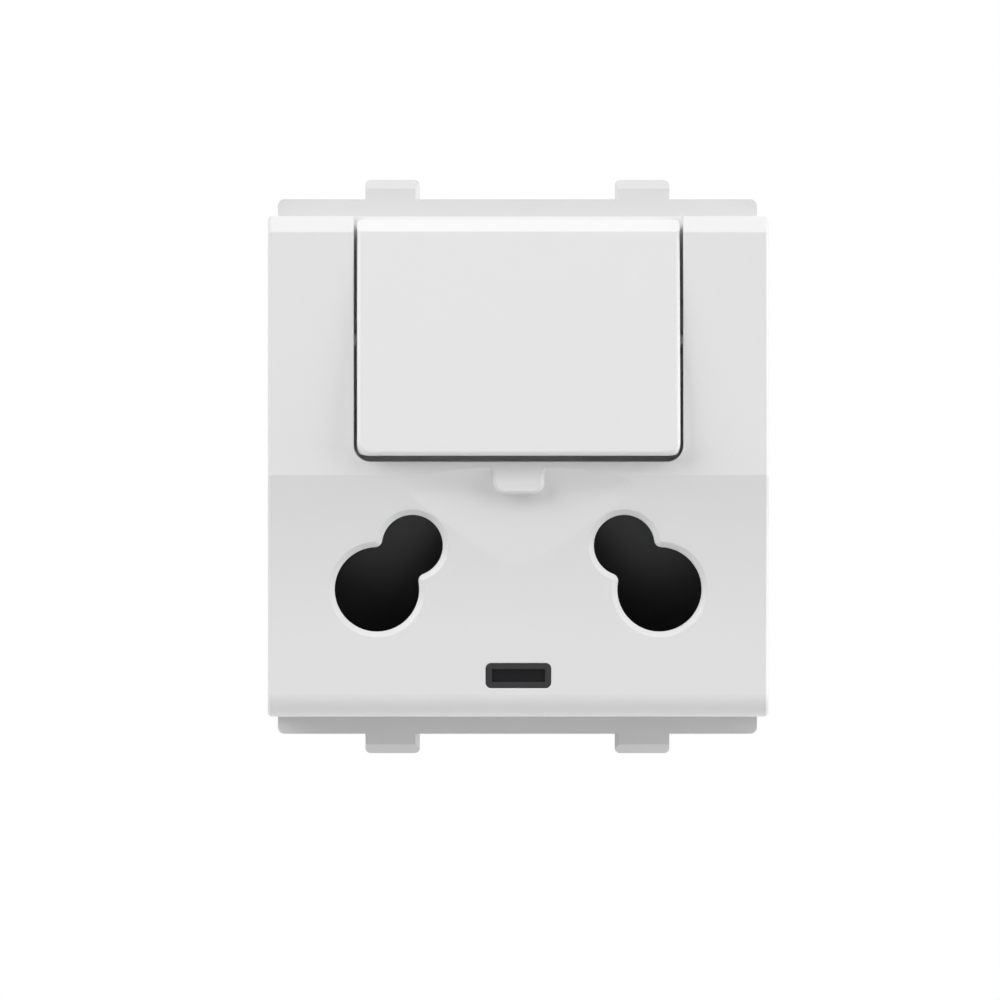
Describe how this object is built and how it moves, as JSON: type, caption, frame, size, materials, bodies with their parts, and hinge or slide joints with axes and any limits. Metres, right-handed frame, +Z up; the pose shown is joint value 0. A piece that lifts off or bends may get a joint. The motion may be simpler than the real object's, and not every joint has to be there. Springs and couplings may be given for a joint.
{
  "type": "switched socket insert",
  "caption": "Square white wall-socket insert with a rocker switch, keyhole apertures for thick and thin plug pins, a safety shutter and an indicator window; clips into a frame from behind.",
  "frame": {"origin": "middle of the plane on which the mounting flange seats behind its frame", "axes": "+X right and +Z up seen from the front, +Y back into the wall"},
  "size_m": [0.045, 0.0333, 0.0516],
  "materials": {
    "white_plastic": "satin",
    "black_plastic": "matte",
    "smoked_plastic": "gloss",
    "nylon": "matte",
    "brass": "rolled",
    "silver": "polished",
    "steel": "zinc plated",
    "board": "matte",
    "lamp": "gloss",
    "resistor": "matte"
  },
  "bodies": {
    "housing": {"front_cover": "white_plastic", "rear_base": "white_plastic", "contact_cover": "black_plastic", "shutter_spring": "steel", "fixed_tip": "silver", "line_terminal": "brass", "live_contact": "brass", "neutral_contact": "brass", "live_grip_clip": "steel", "neutral_grip_clip": "steel", "terminal_screws": "brass", "terminal_clamps": "steel", "cover_screws": "steel", "indicator_lens": "smoked_plastic", "indicator_board": "board", "indicator_led": "lamp", "indicator_resistor": "resistor", "indicator_leads": "steel"},
    "rocker": {"switch_rocker": "white_plastic", "switch_plunger": "nylon", "plunger_spring": "steel"},
    "lever": {"contact_lever": "brass", "lever_tip": "silver"},
    "shutter_body": {"shutter": "black_plastic"}
  },
  "joints": [
    {"name": "rocker_tilt", "type": "hinge", "parent": "housing", "child": "rocker", "pos_m": [0, -0.00651, 0.01127], "axis": [1, 0, 0], "range_deg": [0, 8]},
    {"name": "lever_swing", "type": "hinge", "parent": "housing", "child": "lever", "pos_m": [0, 0.0044, 0.01045], "axis": [1, 0, 0], "range_deg": [-18, 0]},
    {"name": "shutter_slide", "type": "slide", "parent": "housing", "child": "shutter_body", "axis": [0, 0, 1], "range_m": [0, 0.0114], "stiffness_N_per_m": 60, "springref_m": -0.005, "deforming": ["shutter_spring"]}
  ],
  "couplings": [
    {"joint": "lever_swing", "follows": "rocker_tilt", "ratio": -2.25}
  ]
}
